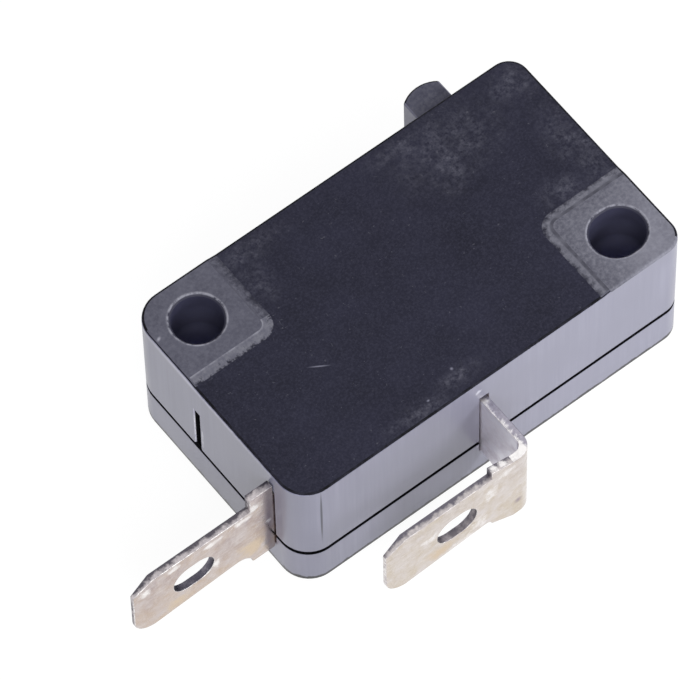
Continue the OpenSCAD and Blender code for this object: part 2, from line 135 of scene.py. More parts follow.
# %% [markdown]
# A worn surface is a ground colour with thin coats over it: grain, dust, rubs and single marks. Each coat
# needs a share from 0 to 1 that says where it lies. Noise gives cloudy shares, an ellipsoid around a place
# gives a single mark, and the way along an axis gives a border. An image could hold all this, but patterns
# worked out from real sizes stay sharp from every side.

# %% Shares of wear
NOISE_ROUGHNESS = 0.65
TORN_FROM, TORN_FULL = 0.82, 1.4


def mottle(tree, place, size_mm, low, high, detail=4.0, most=1.0):
    """A share in cloudy patches of about this size, cut off between two levels of the noise."""
    noise = add(tree, "TexNoise", {"Vector": place, "Scale": 1 / (size_mm * MM), "Detail": detail,
                                   "Roughness": NOISE_ROUGHNESS})
    return add(tree, "MapRange", {"Value": noise, "From Min": low, "From Max": high, "To Max": most})


def marks(tree, place, spots, full=0.0):
    """A share that is 1 in the middle of each spot, or up to a part of its size, and 0 at its border.

    A spot is a centre and half sizes in mm and a turn about +Z in degrees."""
    found = 0.0
    for centre, half, degrees in spots:
        near = add(tree, "Mapping", {"Vector": place, "Location": Vector(centre) * MM,
                                     "Scale": Vector(half) * MM, "Rotation": (0, 0, math.radians(degrees))},
                   vector_type="TEXTURE")
        far = add(tree, "VectorMath", {0: near}, operation="LENGTH")
        spot = add(tree, "MapRange", {"Value": far, "From Min": 1.0, "From Max": full},
                   interpolation_type="SMOOTHSTEP")
        found = add(tree, "Math", {0: found, 1: spot}, operation="MAXIMUM")
    return found


def patches(tree, place, spots, size_mm):
    """A share with torn borders around a few spots, its tears of about this size."""
    torn = mottle(tree, place, size_mm, 0.3, 0.7, most=0.8)
    level = add(tree, "Math", {0: marks(tree, place, spots), 1: torn}, operation="ADD")
    return add(tree, "MapRange", {"Value": level, "From Min": TORN_FROM, "From Max": TORN_FULL})


def along(tree, place, axis, start, end, most=1.0):
    """A share that rises from 0 to its most between two places on an axis."""
    level = add(tree, "SeparateXYZ", {"Vector": place}, out=axis)
    return add(tree, "MapRange", {"Value": level, "From Min": start, "From Max": end, "To Max": most})


print("noise scale for patches of 1 mm:", round(1 / MM))

# %% [markdown]
# The coats are laid from the ground up and end in one principled surface. Pebbles and streaks are only
# hundredths of a millimetre deep. Modelled, they would need millions of faces, so a bump of their real depth
# tilts the shading instead.

# %% Coats and surface
BUMP_STRENGTH = 0.4


def coats(tree, ground, *layers):
    """Lays colours over a ground one after another, each by its share."""
    colour = linear(ground)
    for share, top in layers:
        colour = add(tree, "Mix", {"Factor": share, "A": colour, "B": linear(top)}, data_type="RGBA")
    return colour


def close_finish(tree, colour, surface, relief, depth_mm):
    """Ends a finish with a principled surface, and bumps of a real depth in it."""
    bump = add(tree, "Bump", {"Height": relief, "Strength": BUMP_STRENGTH, "Distance": depth_mm * MM})
    shader = add(tree, "BsdfPrincipled", {"Base Color": colour, **surface, "Normal": bump})
    add(tree, "OutputMaterial", {"Surface": shader})


print("bump strength:", BUMP_STRENGTH)

# %% [markdown]
# The broad face of the base was moulded in PBT, a hard polyester, against a spark-eroded steel plate. That
# leaves a fine pebble grain which swallows light. Handling has rubbed smudges into it near the edges, and a
# single scratch crosses it. Noise in a few sizes draws all this without a single image.

# %% Spark-eroded face
PBT_IOR = 1.55
GRAIN = 0.13  # the real pebbles of 0.06 mm would be one pixel here, so they are drawn twice as coarse
SMUDGES = [(19.9, -0.65, 2.2, 1.1, 8), (17.6, -1.5, 2.6, 1.2, 30), (16.0, 1.85, 3.4, 1.0, 0),
           (4.8, 1.8, 4.0, 1.2, 0), (9.2, -12.0, 2.6, 0.9, 0), (6.2, -12.5, 3.4, 1.0, 0),
           (18.2, 0.2, 5.5, 3.2, 0), (24.0, -4.4, 2.0, 5.0, 0), (23.6, 1.2, 2.4, 2.0, 0),
           (21.6, -6.2, 2.4, 1.6, 0), (4.2, 0.0, 1.4, 2.4, 0)]
SCRATCHES = [(3.55, -6.65, 0.8, 0.07, -32), (19.0, -9.77, 0.16, 0.12, 0), (9.3, -11.4, 0.14, 0.14, 0),
             (7.0, -12.2, 0.14, 0.1, 0)]
RUB_REACH, CUT_REACH = 1.0, 0.2  # how far a mark reaches above and below its face, in mm
PEBBLED = {"Roughness": 0.62, "IOR": PBT_IOR, "Specular IOR Level": 0.15}


def level_spots(rows, height, reach_mm):
    """Spots at one height, from rows of x, y and two half sizes in mm, and a turn in degrees."""
    return [((x, y, height / MM), (half_x, half_y, reach_mm), degrees)
            for x, y, half_x, half_y, degrees in rows]


def spark_eroded_face():
    material, tree, place = blank_finish("pbt_spark_eroded")
    grain = mottle(tree, place, GRAIN, 0.42, 0.8, detail=3.0, most=0.55)
    cloud = mottle(tree, place, 3.5, 0.3, 0.7, detail=5.0)
    speckle = mottle(tree, place, 0.24, 0.38, 0.74, detail=6.0, most=0.85)
    smudge = add(tree, "Math", {0: marks(tree, place, level_spots(SMUDGES, face_z, RUB_REACH)),
                                1: mottle(tree, place, 0.9, 0.3, 0.62)}, operation="MULTIPLY")
    rubs_and_highlight = add(tree, "Math", {0: smudge, 1: speckle}, operation="MULTIPLY")
    dust = mottle(tree, place, 0.24, 0.69, 0.76, detail=2.0, most=0.6)
    scratch = marks(tree, place, level_spots(SCRATCHES, face_z, CUT_REACH))
    colour = coats(tree, "#161624", (cloud, "#212131"), (grain, "#3c3c4c"), (rubs_and_highlight, "#62626f"),
                   (dust, "#55555f"), (scratch, "#767686"))
    close_finish(tree, colour, PEBBLED, grain, depth_mm=0.02)
    return material


# To the eye: almost black beside the smooth walls, with no mirror image, only grey smudges.
FACE = spark_eroded_face()
print(FACE.name, "with", len(FACE.node_tree.nodes), "nodes")

# %% [markdown]
# Where the face turns down to the wall the mould left a broken edge. Its grain faces away from the light, so
# the black line it draws round the body is painted shade, and just below it, at the tab end, a thin pale line
# is a painted highlight. The same few settings, from dark to light, also give the painted shade of the hollow
# inside, the slots of the terminals and the painted highlight round the mouth of the unused slit, so one
# function makes them all.

# %% Broken edges and hollows
MATT = {"Roughness": 0.7, "IOR": PBT_IOR, "Specular IOR Level": 0.1}


def moulded_edge(name, dark, light, size_mm):
    material, tree, place = blank_finish(name)
    wear = mottle(tree, place, size_mm, 0.4, 0.68)
    close_finish(tree, coats(tree, dark, (wear, light)), MATT, wear, depth_mm=0.01)
    return material


# To the eye: a black line with a few grey breaks, painted shade.
EDGE = moulded_edge("pbt_painted_shade_edge", "#06060b", "#262631", 0.7)
# To the eye: a thin pale line, a painted highlight.
CREST = moulded_edge("pbt_painted_highlight_crest", "#72728a", "#9c9cb0", 0.6)
# To the eye: deep shade, because hardly any light gets in; its near black colour is painted shade.
GAP = moulded_edge("pbt_painted_shade_hollow", "#030306", "#08080d", 1.0)
# To the eye: dull grey walls close beside the tin.
SLOT = moulded_edge("pbt_cored_slot", "#86808a", "#a8a2aa", 0.9)
# To the eye: a bright fringe round the dark slit, a painted highlight.
LIP = moulded_edge("pbt_painted_highlight_lip", "#c4c4d6", "#f4f4fa", 0.8)
print("edge finishes:", [finish.name for finish in (EDGE, CREST, GAP, SLOT, LIP)])

# %% [markdown]
# The pads around the mounting holes are lighter, because the mould was ground flat there, and screw heads
# have rubbed them most at the rims. The pad at the plunger end is painted paler still, as painted light, and
# it is painted darker towards the middle of the body, where less of that light falls. A nick shows near the
# tab end. All this could be painted by hand on the mesh, but rings and nicks with real places and sizes can
# be measured and moved.

# %% Mounting pads
RUBBED = {"Roughness": 0.55, "IOR": PBT_IOR, "Specular IOR Level": 0.2}
NICKS = [(-2.5, 0.3, 0.24, 0.14, 30)]
# The painted light on the paler pad fades towards the middle of the body between these two places.
LIGHT_FADE = (22.5, 19.4)  # from and to, in mm along X
DULLED = [(22.4, -7.2, 5.0, 3.6, 0)]
ROUND_RING, SLOTTED_RING = (1.83, 1.83), (1.98, 1.83)
RINGS = [(hole.x / MM, hole.y / MM, *ring, 0) for hole, ring in zip(holes, (ROUND_RING, SLOTTED_RING))]
RIM_SHARE, BORE_REACH = 0.93, 9.0  # a ring is full up to this part of its size, and reaches down the bore


def ground_pad(name, low, high, pale, surface, light_fade=None):
    material, tree, place = blank_finish(name)
    fine = mottle(tree, place, 0.22, 0.4, 0.75, most=0.5)
    layers = [(mottle(tree, place, 1.1, 0.35, 0.68), high)]
    if light_fade:
        start, end = light_fade
        layers += [(along(tree, place, "X", start * MM, end * MM, most=0.85), "#464652"),
                   (marks(tree, place, level_spots(DULLED, pad_z, RUB_REACH)), "#50505c")]
    ring = add(tree, "Math", {0: marks(tree, place, level_spots(RINGS, pad_z, BORE_REACH), RIM_SHARE),
                              1: mottle(tree, place, 0.35, 0.3, 0.6)}, operation="MULTIPLY")
    nick = marks(tree, place, level_spots(NICKS, pad_z, CUT_REACH))
    colour = coats(tree, low, *layers, (fine, pale), (ring, "#94949f"), (nick, "#9a9aa6"))
    close_finish(tree, colour, surface, fine, depth_mm=0.012)
    return material


# To the eye: mid grey and even, with a soft sheen and a pale ring at the hole.
PAD = ground_pad("pbt_ground_pad", "#4a4a57", "#565663", "#6c6c78", RUBBED)
# To the eye: the same but paler, as painted light, and mottled.
PALE_PAD = ground_pad("pbt_painted_light_pad", "#686874", "#767682", "#8c8c97", RUBBED, LIGHT_FADE)
print("pad finishes:", PAD.name, PALE_PAD.name)

# %% [markdown]
# Each pad slopes down to the face with a flank. On the near side of the left pad, which faces the light, the
# flank is painted paler, with a painted highlight along its upper edge, and its lower edge is ragged where
# the grain of the face bites into it. The other flanks are smudged, and that of the paler pad shares its
# painted light.
# The slope is only 0.1 mm high, so its ragged border is drawn by height and noise and not cut into the mesh.

# %% Flanks of the pads
CREST_FADE = 0.13  # as a part of the height of the flank


def ragged_flank(name, low, high, crest, crest_from, bite, tooth_mm):
    material, tree, place = blank_finish(name)
    above = along(tree, place, "Z", face_z, pad_z)
    tooth = mottle(tree, place, tooth_mm, 0.3, 0.7)
    shade = mottle(tree, place, 0.3, 0.38, 0.7, detail=5.0)
    level = add(tree, "Math", {0: above, 1: tooth}, operation="ADD")
    bitten = add(tree, "MapRange", {"Value": level, "From Min": bite[0], "From Max": bite[1]})
    top = add(tree, "MapRange", {"Value": above, "From Min": crest_from, "From Max": crest_from + CREST_FADE})
    worn = mottle(tree, place, 0.6, 0.3, 0.6, most=0.85)
    broken = add(tree, "Math", {0: top, 1: worn}, operation="MULTIPLY")
    colour = coats(tree, low, (shade, high), (broken, crest), (bitten, "#1d1d2b"))
    close_finish(tree, colour, RUBBED, shade, depth_mm=0.015)
    return material


# To the eye: a pale band of painted light with a bright upper line of painted highlight, and a torn lower
# border.
CRISP_FLANK = ragged_flank("pbt_crisp_flank", "#5d5d6a", "#75757f", "#8a8a95",
                           crest_from=0.8, bite=(0.75, 0.4), tooth_mm=0.28)
# To the eye: the pad fades into the face without a line.
SOFT_FLANK = ragged_flank("pbt_smudged_flank", "#464653", "#62626e", "#4a4a56",
                          crest_from=0.8, bite=(1.25, 0.25), tooth_mm=0.6)
# To the eye: a pale band, painted light, with a dark line at the pad.
PALE_FLANK = ragged_flank("pbt_painted_light_flank", "#5b5b66", "#757580", "#34343f",
                          crest_from=0.62, bite=(0.95, 0.3), tooth_mm=0.45)
print("flank finishes:", CRISP_FLANK.name, SOFT_FLANK.name, PALE_FLANK.name)

# %% [markdown]
# Steel pins cored the holes. The upper part of each rim gets a pale line, a painted highlight. The bore
# below is dark and dull, and it gets paler deep down, where the white table lights it from below. A lamp in
# the hole could do that too, but a colour by depth stays the same from every side.

# %% Rims and bores
HIGHLIGHT_DEPTH, HIGHLIGHT_FULL = 0.08 * MM, 0.03 * MM
DEEP = (1.1 * MM, 3.8 * MM)
DEEPER = (3.0 * MM, 6.0 * MM)


def painted_highlight_rim():
    material, tree, place = blank_finish("pbt_painted_highlight_rim")
    worn = mottle(tree, place, 0.35, 0.35, 0.55)
    # The pale line at the top of the rim is painted highlight.
    upper = along(tree, place, "Z", pad_z - HIGHLIGHT_DEPTH, pad_z - HIGHLIGHT_FULL)
    rim_highlight = add(tree, "Math", {0: upper, 1: worn}, operation="MULTIPLY")
    close_finish(tree, coats(tree, "#30303f", (rim_highlight, "#8a8a96")), RUBBED, worn, depth_mm=0.01)
    return material


def cored_bore():
    material, tree, place = blank_finish("pbt_cored_bore")
    dusty = mottle(tree, place, 1.2, 0.35, 0.65)
    deep, deeper = [along(tree, place, "Z", pad_z - start, pad_z - end) for start, end in (DEEP, DEEPER)]
    colour = coats(tree, "#363649", (dusty, "#3a3a4e"), (deep, "#5c5c76"), (deeper, "#bcbce7"))
    close_finish(tree, colour, MATT, dusty, depth_mm=0.01)
    return material


# To the eye: a broken pale ring, as thin as the rim, a painted highlight.
RIM = painted_highlight_rim()
# To the eye: an even dark hole that is grey only deep down.
BORE = cored_bore()
print("hole finishes:", RIM.name, BORE.name)

# %% [markdown]
# The walls slid out of a polished steel cavity, so they are smooth and satin and mirror the white table.
# Their colour is painted much lighter than the face, as painted light that falls on them from the side.
# Drawing the part out of the mould leaves faint streaks along its height. A thin dark seam shows where two
# slides of the mould met near the corner, the foot is painted darker as a painted contact shadow, and a few
# chips are pale.
# A pale band below the top edge at the tab end is a painted highlight. The roughness varies only from 0.28
# up, because a range that also held lower values left thin contour lines in the render.

# %% Smooth moulded walls
DRAWN_OUT = (1.0, 1.0, 0.03)
TAB_END, FRONT = base_low.x / MM, base_low.y / MM
SEAMS = [((-1.3, -13.05, 7.3), (0.09, 0.4, 3.6), 0)]
SEAM_CORE = 0.4
# A painted highlight: a pale band just below the top edge at the tab end.
TOP_HIGHLIGHT = [((TAB_END, -4.0, 10.0), (1.2, 9.0, 0.4), 0)]
CHIPS = [((9.9, FRONT, 9.2), (0.4, 0.4, 0.4), 0), ((9.85, FRONT, 2.85), (0.3, 0.4, 0.35), 0),
         ((TAB_END, -3.9, 5.0), (0.3, 0.17, 2.0), 0)]
# A painted contact shadow darkens the foot of the walls up to these heights.
FOOT_FROM, FOOT_FULL = 0.56 * MM, 0.28 * MM
FOOT_SHADOW_FROM, FOOT_SHADOW_FULL = 0.8, 1.0


def moulded_wall(name, dark, light, rough_from, rough_to, ior):
    material, tree, place = blank_finish(name)
    drawn = add(tree, "Mapping", {"Vector": place, "Scale": DRAWN_OUT})
    streak = mottle(tree, drawn, 0.3, 0.3, 0.7, detail=3.0)
    cloud = mottle(tree, place, 4.0, 0.3, 0.7, detail=1.5)
    shade = add(tree, "Math", {0: streak, 1: cloud}, operation="MULTIPLY")
    wave = mottle(tree, place, 3.0, 0.0, 1.0, detail=0.0)
    # The pale band below the top edge is painted highlight.
    rubs_and_highlight = add(tree, "Math", {0: marks(tree, place, TOP_HIGHLIGHT), 1: mottle(tree, place, 0.8, 0.25, 0.5)},
                 operation="MULTIPLY")
    # The dark ragged band at the foot is painted contact shadow.
    ragged = add(tree, "Math", {0: along(tree, place, "Z", FOOT_FROM, FOOT_FULL),
                                1: mottle(tree, place, 0.5, 0.3, 0.7, most=0.6)}, operation="ADD")
    foot_shadow = add(tree, "MapRange", {"Value": ragged, "From Min": FOOT_SHADOW_FROM, "From Max": FOOT_SHADOW_FULL})
    seam = marks(tree, place, SEAMS, SEAM_CORE)
    chip = patches(tree, place, CHIPS, 0.3)
    colour = coats(tree, dark, (shade, light), (rubs_and_highlight, "#a8a8ba"), (foot_shadow, "#101018"), (seam, "#3a3a48"),
                   (chip, "#bcbcc8"))
    rough = add(tree, "MapRange", {"Value": cloud, "To Min": rough_from, "To Max": rough_to})
    close_finish(tree, colour, {"Roughness": rough, "IOR": ior}, wave, depth_mm=0.01)
    return material


# To the eye: a soft grey gloss that picks up the white of the table, painted much lighter than the face as
# painted light.
WALL = moulded_wall("pbt_polished_wall", "#78788a", "#838395", 0.28, 0.34, PBT_IOR)
# To the eye: the same gloss, painted a shade lighter still as painted light.
COVER_WALL = moulded_wall("pbt_polished_cover", "#7b7b8d", "#868698", 0.28, 0.36, PBT_IOR)
print("wall finishes:", WALL.name, COVER_WALL.name)

# %% [markdown]
# The push button is acetal, a slippery plastic that is often used for sliding pieces. Its top was moulded
# like the pads, and its sides were polished like the walls and, like them, are painted lighter as painted
# light. So both finishes come from the same functions, and only the colours and the index of refraction
# differ.

# %% Button finishes
ACETAL_IOR = 1.48
SLIDING = {**RUBBED, "IOR": ACETAL_IOR}

# To the eye: mottled dark grey with little sheen.
BUTTON_TOP = ground_pad("acetal_moulded_button", "#464656", "#5a5a6a", "#7c7c87", SLIDING)
# To the eye: a lighter satin side, its lighter colour painted light.
BUTTON_SIDE = moulded_wall("acetal_sliding_side", "#6d6d82", "#7c7c90", 0.3, 0.4, ACETAL_IOR)
print("button finishes:", BUTTON_TOP.name, BUTTON_SIDE.name)

# %% [markdown]
# The terminals are stamped from brass strip that was tinned before it was cut. Tin is a soft, warm white
# metal: it takes pressure marks and streaks, and it mirrors the wall beside it. The straight tab is painted
# darker than the angled one, as painted shade, and it is darker and more mauve towards its upper edge and in
# a band beside the body. The bright patches are painted highlights. Each dull, warm or bright patch is placed
# by its x and z on the front of its tab.

# %% Tinned strip
STRIP = 0.5  # its thickness in mm
STRAIGHT_FRONT, ANGLED_FRONT = [mounts[tab].y / MM - STRIP / 2 for tab in ("common_tab", "angled_tab")]
STRAIGHT_DULL = [(-3.2, 5.6, 0.45, 4.6)]
STRAIGHT_WARM = [(-4.5, 3.7, 1.8, 1.6), (-9.8, 3.3, 2.4, 1.0)]
# Painted highlights on the straight tab.
STRAIGHT_HIGHLIGHTS = [(-3.2, 5.44, 0.4, 0.5), (-6.93, 4.6, 0.5, 0.9), (-5.1, 7.4, 1.5, 0.6),
                   (-7.1, 7.2, 1.4, 0.5), (-4.2, 8.0, 1.1, 0.8), (-9.9, 7.3, 1.3, 0.5),
                   (-11.9, 6.7, 0.9, 0.8)]
ANGLED_DULL = [(9.4, 3.2, 0.4, 0.4)]
ANGLED_WARM = [(4.0, 3.6, 2.4, 1.2)]
# Painted highlights on the angled tab.
ANGLED_HIGHLIGHTS = [(7.4, 6.2, 1.3, 1.2), (6.6, 3.7, 1.0, 1.3), (3.1, 5.8, 1.3, 0.7), (8.6, 7.4, 1.4, 0.7),
                 (5.6, 2.9, 2.4, 0.7)]
STRAIGHT_DULL_REACH, ANGLED_DULL_REACH = 0.6, 0.4
ROLLED_OUT = (0.12, 1.0, 1.0)
DRIFT_FROM, DRIFT_FULL = 3.0 * MM, 8.0 * MM
ROUGH_SWING = 0.06


def tab_spots(front, rows, reach_mm=STRIP):
    """Spots on the front of a tab, from rows of x, z and two half sizes in mm."""
    return [((x, front, z), (half_x, reach_mm, half_z), 0) for x, z, half_x, half_z in rows]


def tinned_strip(name, lower, upper, pale, highlight, rough_mid, dull=(), warm=(), bright=()):
    material, tree, place = blank_finish(name)
    rolled_along = add(tree, "Mapping", {"Vector": place, "Scale": ROLLED_OUT})
    # Rolling lines are finer than a pixel, so they are drawn ten times as coarse.
    line = mottle(tree, rolled_along, 0.2, 0.5, 0.8, detail=3.0, most=0.25)
    blotch = mottle(tree, place, 0.9, 0.38, 0.66, detail=6.0)
    fine = mottle(tree, place, 0.3, 0.52, 0.72, most=0.2)
    drift = add(tree, "Math", {0: along(tree, place, "Z", DRIFT_FROM, DRIFT_FULL),
                               1: mottle(tree, place, 2.0, 0.3, 0.6)}, operation="MULTIPLY")
    # The bright patches, the last coat, are painted highlights.
    colour = coats(tree, lower, (drift, upper), (blotch, pale), (line, "#ece6e2"), (fine, "#f0ebe8"),
                   (marks(tree, place, dull), "#9a8d93"), (patches(tree, place, warm, 1.2), "#cfbba3"),
                   (patches(tree, place, bright, 0.5), highlight))
    rough = add(tree, "MapRange", {"Value": blotch, "To Min": rough_mid + ROUGH_SWING,
                                   "To Max": rough_mid - ROUGH_SWING})
    relief = add(tree, "Math", {0: line, 1: blotch}, operation="ADD")
    close_finish(tree, colour, {"Metallic": 1.0, "Roughness": rough}, relief, depth_mm=0.012)
    return material


# To the eye: a blotched, warm grey mirror, mauve above and beside the body, painted darker as painted shade.
STRAIGHT_TIN = tinned_strip("brass_tinned_painted_shade", "#c2ae9d", "#9d9099", "#c6bbb8", "#f0ecea", rough_mid=0.2,
                            dull=tab_spots(STRAIGHT_FRONT, STRAIGHT_DULL, STRAIGHT_DULL_REACH),
                            warm=tab_spots(STRAIGHT_FRONT, STRAIGHT_WARM),
                            bright=tab_spots(STRAIGHT_FRONT, STRAIGHT_HIGHLIGHTS))
# To the eye: the same metal, painted brighter and more cream.
ANGLED_TIN = tinned_strip("brass_tinned_rolled", "#c8bbaa", "#c0b5b1", "#d3cbc8", "#e8e3e1", rough_mid=0.2,
                          dull=tab_spots(ANGLED_FRONT, ANGLED_DULL, ANGLED_DULL_REACH),
                          warm=tab_spots(ANGLED_FRONT, ANGLED_WARM),
                          bright=tab_spots(ANGLED_FRONT, ANGLED_HIGHLIGHTS))
# To the eye: a cool, blurred mirror of the wall that the leg stands on.
LEG_TIN = tinned_strip("brass_tinned_bright", "#d4ced8", "#f6f4fc", "#efedf5", "#fafafc", rough_mid=0.5)
print("tin finishes:", STRAIGHT_TIN.name, ANGLED_TIN.name, LEG_TIN.name)

# %% [markdown]
# A punch shears the strip: the cut edge shows a grey, torn break with no tin on it, and the corner on the
# front is drawn out to a bright burr. The walls of the wire holes were punched the same way and lie in
# shadow, so they are darker. The break starts part of the way across the strip, so the border between bright
# and dark follows one axis, with noise to tear it.

# %% Sheared edges
LUMPS = [((9.9, -17.0, 8.1), (1.0, 0.8, 0.9), 0), ((8.4, -17.1, 8.2), (0.8, 0.5, 0.6), 0),
         ((7.8, -17.1, 8.3), (0.6, 0.5, 0.6), 0), ((10.2, -13.3, 8.05), (0.5, 0.5, 0.4), 0)]
LEG_BREAK = (9.95, 10.35)  # front and rear, in mm along X
BREAK_FROM, BREAK_FULL = 1.25, 0.75
TORN = {"Metallic": 1.0, "Roughness": 0.42}


def sheared_edge(name, dark, light, size_mm, across=None):
    material, tree, place = blank_finish(name)
    if across:
        axis, front, rear = across
        level = add(tree, "Math", {0: along(tree, place, axis, front * MM, rear * MM),
                                   1: mottle(tree, place, size_mm, 0.3, 0.7, detail=5.0)}, operation="ADD")
        tear = add(tree, "MapRange", {"Value": level, "From Min": BREAK_FROM, "From Max": BREAK_FULL})
    else:
        tear = mottle(tree, place, size_mm, 0.42, 0.6, detail=5.0)
    grit = mottle(tree, place, 0.2, 0.4, 0.75, detail=3.0, most=0.4)
    lump = patches(tree, place, LUMPS, 0.3)
    colour = coats(tree, dark, (tear, light), (grit, "#57545f"), (lump, "#f2efee"))
    close_finish(tree, colour, TORN, tear, depth_mm=0.03)
    return material


# To the eye: bright at the front and dark behind, with a torn border between.
STRAIGHT_CUT = sheared_edge("brass_sheared_straight", "#5a565d", "#c4bdbf", 0.5,
                            ("Y", STRAIGHT_FRONT, STRAIGHT_FRONT + STRIP))
# To the eye: the same, a little paler behind.
ANGLED_CUT = sheared_edge("brass_sheared_angled", "#6e6a74", "#c8c1c1", 0.5,
                          ("Y", ANGLED_FRONT, ANGLED_FRONT + STRIP))
# To the eye: almost white, because it faces up to the light.
LEG_CUT = sheared_edge("brass_sheared_leg", "#aba7b4", "#f6f3f2", 0.4, ("X", *LEG_BREAK))
# To the eye: a white line along the front corner.
BURR = sheared_edge("tin_drawn_burr", "#c4bcbc", "#fbf8f6", 0.5)
# To the eye: a dark line along the rear corner.
ROLLED = sheared_edge("brass_rolled_corner", "#2e2c36", "#6b6872", 0.6)
# To the eye: the shaded wall of a wire hole.
PUNCHED = sheared_edge("brass_punched_hole", "#55535e", "#807c85", 0.6)
# To the eye: the same wall, paler where tin was smeared over it.
PALE_PUNCHED = sheared_edge("tin_smeared_hole", "#7c777c", "#aaa3a5", 0.6)
CUTS = [STRAIGHT_CUT, ANGLED_CUT, LEG_CUT, BURR, ROLLED, PUNCHED, PALE_PUNCHED]
print("cut finishes:", [finish.name for finish in CUTS])

# %% [markdown]
# Inside, the blade and the bow are spring bronze, rolled hard and left bare, and the contact rivets are a
# silver alloy that tarnishes a little towards brown. They could be rebuilt like the outer pieces, but no edge
# of theirs shows in the closed switch, so they stay as the frame made them and only get a finish.

# %% Spring bronze and contact silver
HARD_ROLLED = (0.05, 1.0, 1.0)


def bare_metal(name, dark, light, rough):
    material, tree, place = blank_finish(name)
    rolled_along = add(tree, "Mapping", {"Vector": place, "Scale": HARD_ROLLED})
    # Drawn five times as coarse as real rolling lines, so that they show.
    line = mottle(tree, rolled_along, 0.1, 0.35, 0.7, detail=3.0)
    tarnish = mottle(tree, place, 1.0, 0.35, 0.65)
    colour = coats(tree, dark, (line, light), (tarnish, dark))
    close_finish(tree, colour, {"Metallic": 1.0, "Roughness": rough}, line, depth_mm=0.005)
    return material


# To the eye: warm brown metal with a fine grain along the leaf.
BRONZE = bare_metal("bronze_rolled_spring", "#a9733f", "#d8a56c", 0.3)
# To the eye: soft white metal with brown clouds.
SILVER = bare_metal("silver_alloy_headed_rivet", "#a8a29a", "#dcdce0", 0.28)
INSIDE = {"contact_blade": BRONZE, "bow_spring": BRONZE, "fixed_contact": SILVER, "moving_contact": SILVER}
for inner, finish in INSIDE.items():
    solid = frame["nodes"][inner].data
    solid.materials.clear()
    solid.materials.append(finish)
    print(inner, "gets", finish.name)

# %% [markdown]
# A solid from the frame has knife-sharp edges, and nothing moulded or stamped is that sharp. Each piece that
# shows is rebuilt from a copy of its solid: the loose triangles are welded, the flat faces are made whole,
# each face gets its finish, and the edges that a mould or a punch leaves round are bevelled. A bevel modifier
# would round every edge by the same amount, so the edges are picked here and rounded by their own size.

# %% Shaping a piece
FLAT = math.radians(0.2)
WELD = 0.0005 * MM


def solid_copy(node):
    """A bmesh copy of a node's solid with its triangles welded and its flat faces whole."""
    bm = bmesh.new()
    bm.from_mesh(frame["nodes"][node].data)
    bmesh.ops.remove_doubles(bm, verts=bm.verts, dist=WELD)
    bmesh.ops.dissolve_limit(bm, angle_limit=FLAT, verts=bm.verts, edges=bm.edges)
    return bm


def round_edges(bm, wanted, size_mm, steps):
    """Bevels the edges that a test picks, and returns the new faces."""
    edges = [edge for edge in bm.edges if len(edge.link_faces) == 2 and wanted(edge)]
    made = bmesh.ops.bevel(bm, geom=edges, offset=size_mm * MM, offset_type="OFFSET", segments=steps,
                           profile=0.5, affect="EDGES", material=-1, clamp_overlap=True)
    bm.normal_update()
    return made["faces"]


def paint(faces, finishes, pick):
    """Gives each face the finish that a test picks for it."""
    for face in faces:
        face.material_index = finishes.index(pick(face))


def middle(edge):
    """The place half way along an edge."""
    return (edge.verts[0].co + edge.verts[1].co) / 2


print("triangles are welded within", WELD / MM, "mm")

# %% [markdown]
# The finished bmesh becomes an object that stands for its solid and rides on the same body. Faces are shaded
# smooth, and edges that turn sharply stay sharp. Smooth shading alone would leave gradients on the large flat
# faces beside their narrow bevels, so weighted normals keep them flat.

# %% Settling a piece
CREASE = math.radians(35.0)


def settle(bm, name, finishes, node, body):
    """Turns a bmesh into a finished piece that stands for a node."""
    for face in bm.faces:
        face.smooth = True
    for edge in bm.edges:
        edge.smooth = edge.calc_face_angle(0.0) < CREASE
    mesh = bpy.data.meshes.new(name)
    bm.to_mesh(mesh)
    bm.free()
    for finish in finishes:
        mesh.materials.append(finish)
    piece = bpy.data.objects.new(name, mesh)
    bpy.context.scene.collection.objects.link(piece)
    even = piece.modifiers.new("even_shading", "WEIGHTED_NORMAL")
    even.keep_sharp = True
    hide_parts(node)
    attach(piece, body)
    print(name, "has", len(mesh.polygons), "faces")


# %% [markdown]
# Two measures tell the faces of the housing apart. The distance from the nearer hole finds bores and rims,
# and the depth inside the body's rounded outline tells an outer wall from a groove, a slit or the hollow
# inside. Faces could be picked by hand in the viewport, but a measure finds them again if a size changes.

# %% Finding places on the housing
TAB_END_R, PLUNGER_END_R = 1.9 * MM, 1.3 * MM  # the body's corners in plan, as in its solids
SKIN = 0.05 * MM  # a place that is less deep than this lies on the outside
UPRIGHT, LEVEL = 0.2, 0.9  # the upward part of a normal: a wall has less, a level face more
SLOT_REACH, SLOT_HALF, LEG_MID = 1.7 * MM, 0.6 * MM, 10.3 * MM
body_middle = (base_low + base_high) / 2
body_half = (base_high - base_low) / 2


def off_hole(place):
    """Distance in plan from the nearer mounting hole's axis."""
    return min((place - hole).to_2d().length for hole in holes)


def depth(place):
    """How far a place lies inside the body's rounded outline, in plan."""
    off = place - body_middle
    corner_r = TAB_END_R if off.x < 0 else PLUNGER_END_R
    over = Vector((abs(off.x) - body_half.x + corner_r, abs(off.y) - body_half.y + corner_r))
    outside = Vector((max(over.x, 0), max(over.y, 0))).length + min(max(over.x, over.y), 0)
    return corner_r - outside


def in_slot(place):
    """True for a place in one of the two slots that the terminals leave through."""
    end = place.x < base_low.x + SLOT_REACH and abs(place.y - mounts["common_tab"].y) < SLOT_HALF
    side = place.y < base_low.y + SLOT_REACH and abs(place.x - LEG_MID) < SLOT_HALF
    return end or side


